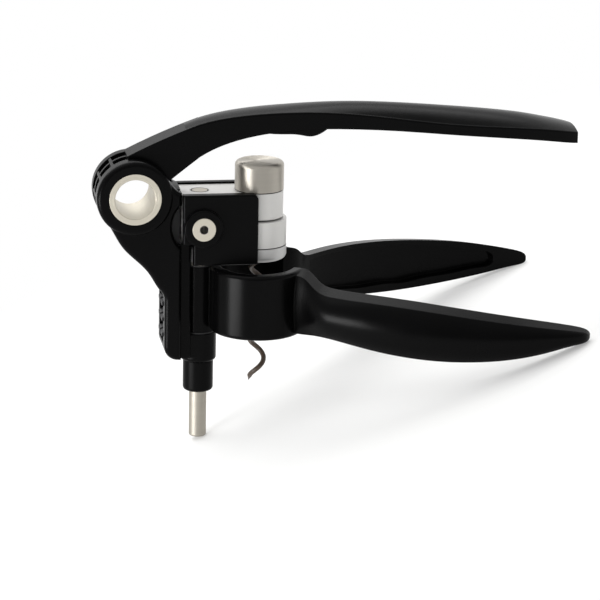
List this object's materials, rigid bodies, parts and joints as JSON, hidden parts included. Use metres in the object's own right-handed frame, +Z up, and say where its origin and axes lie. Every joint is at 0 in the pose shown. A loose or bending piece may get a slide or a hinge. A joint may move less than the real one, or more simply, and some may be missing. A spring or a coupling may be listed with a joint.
{
  "type": "lever corkscrew",
  "caption": "Lever corkscrew: hinged handles with half-collar jaws, a geared lever and rack, and a carriage that drives a worm through a nut.",
  "frame": {"origin": "middle of the part's footprint on the table that it rests on, by the lower end of its guide rod and its two handles", "axes": "+Z up from the table; +X from the guide rod towards the handles' ends; +Y along the lever's pivot, from the front to the back"},
  "size_m": [0.1904, 0.1314, 0.1242],
  "materials": {
    "black_casting": "satin gloss black",
    "satin_steel": "satin turned steel",
    "grey_aluminium": "light grey satin",
    "mid_grey_aluminium": "mid grey satin",
    "black_nylon": "moulded nylon",
    "bronze": "sintered bronze",
    "coated_worm": "dark non-stick coating"
  },
  "bodies": {
    "frame": {"frame_body": "black_casting", "pivot_tube": "satin_steel", "front_pivot_collar": "satin_steel", "rear_pivot_collar": "satin_steel", "hinge_tube": "black_casting", "hinge_washers": "black_nylon", "hinge_collar": "satin_steel", "nut_carrier": "mid_grey_aluminium", "carrier_screws": "satin_steel", "nut_housing": "grey_aluminium", "nut_insert": "black_nylon", "nut_guide_pins": "satin_steel"},
    "lever": {"lever_arm": "black_casting", "lever_bushing": "black_nylon"},
    "carriage": {"carriage_yoke": "grey_aluminium", "front_cheek": "black_casting", "rear_cheek": "black_casting", "toothed_rack": "black_nylon", "rack_pin": "satin_steel", "guide_rod": "satin_steel", "cross_rivet": "satin_steel", "cheek_dowels": "satin_steel", "spindle_cap": "satin_steel", "spindle_bush": "bronze", "lower_thrust_washer": "bronze", "upper_thrust_washer": "bronze"},
    "worm": {"worm_spindle": "satin_steel", "worm": "coated_worm"},
    "front_handle": {"front_handle": "black_casting"},
    "rear_handle": {"rear_handle": "black_casting"}
  },
  "joints": [
    {"name": "lever_pivot", "type": "hinge", "parent": "frame", "child": "lever", "pos_m": [-0.08009, 0, 0.1061], "axis": [0, -1, 0], "range_deg": [0, 188]},
    {"name": "carriage_slide", "type": "slide", "parent": "frame", "child": "carriage", "axis": [0.3451, 0, 0.9386], "range_m": [0, 0.04351]},
    {"name": "worm_spin", "type": "hinge", "parent": "carriage", "child": "worm", "pos_m": [-0.03599, 0, 0.0788], "axis": [0.3451, 0, 0.9386], "range_deg": [0, 1028.65]},
    {"name": "front_handle_hinge", "type": "hinge", "parent": "frame", "child": "front_handle", "pos_m": [-0.0745, 0, 0.04331], "axis": [0.3451, 0, 0.9386], "range_deg": [-8, 21]},
    {"name": "rear_handle_hinge", "type": "hinge", "parent": "frame", "child": "rear_handle", "pos_m": [-0.0745, 0, 0.04331], "axis": [-0.3451, 0, -0.9386], "range_deg": [-8, 21]}
  ],
  "couplings": [
    {"joint": "carriage_slide", "follows": "lever_pivot", "m_per_rad": 0.01323},
    {"joint": "worm_spin", "follows": "lever_pivot", "ratio": 5.4689}
  ]
}
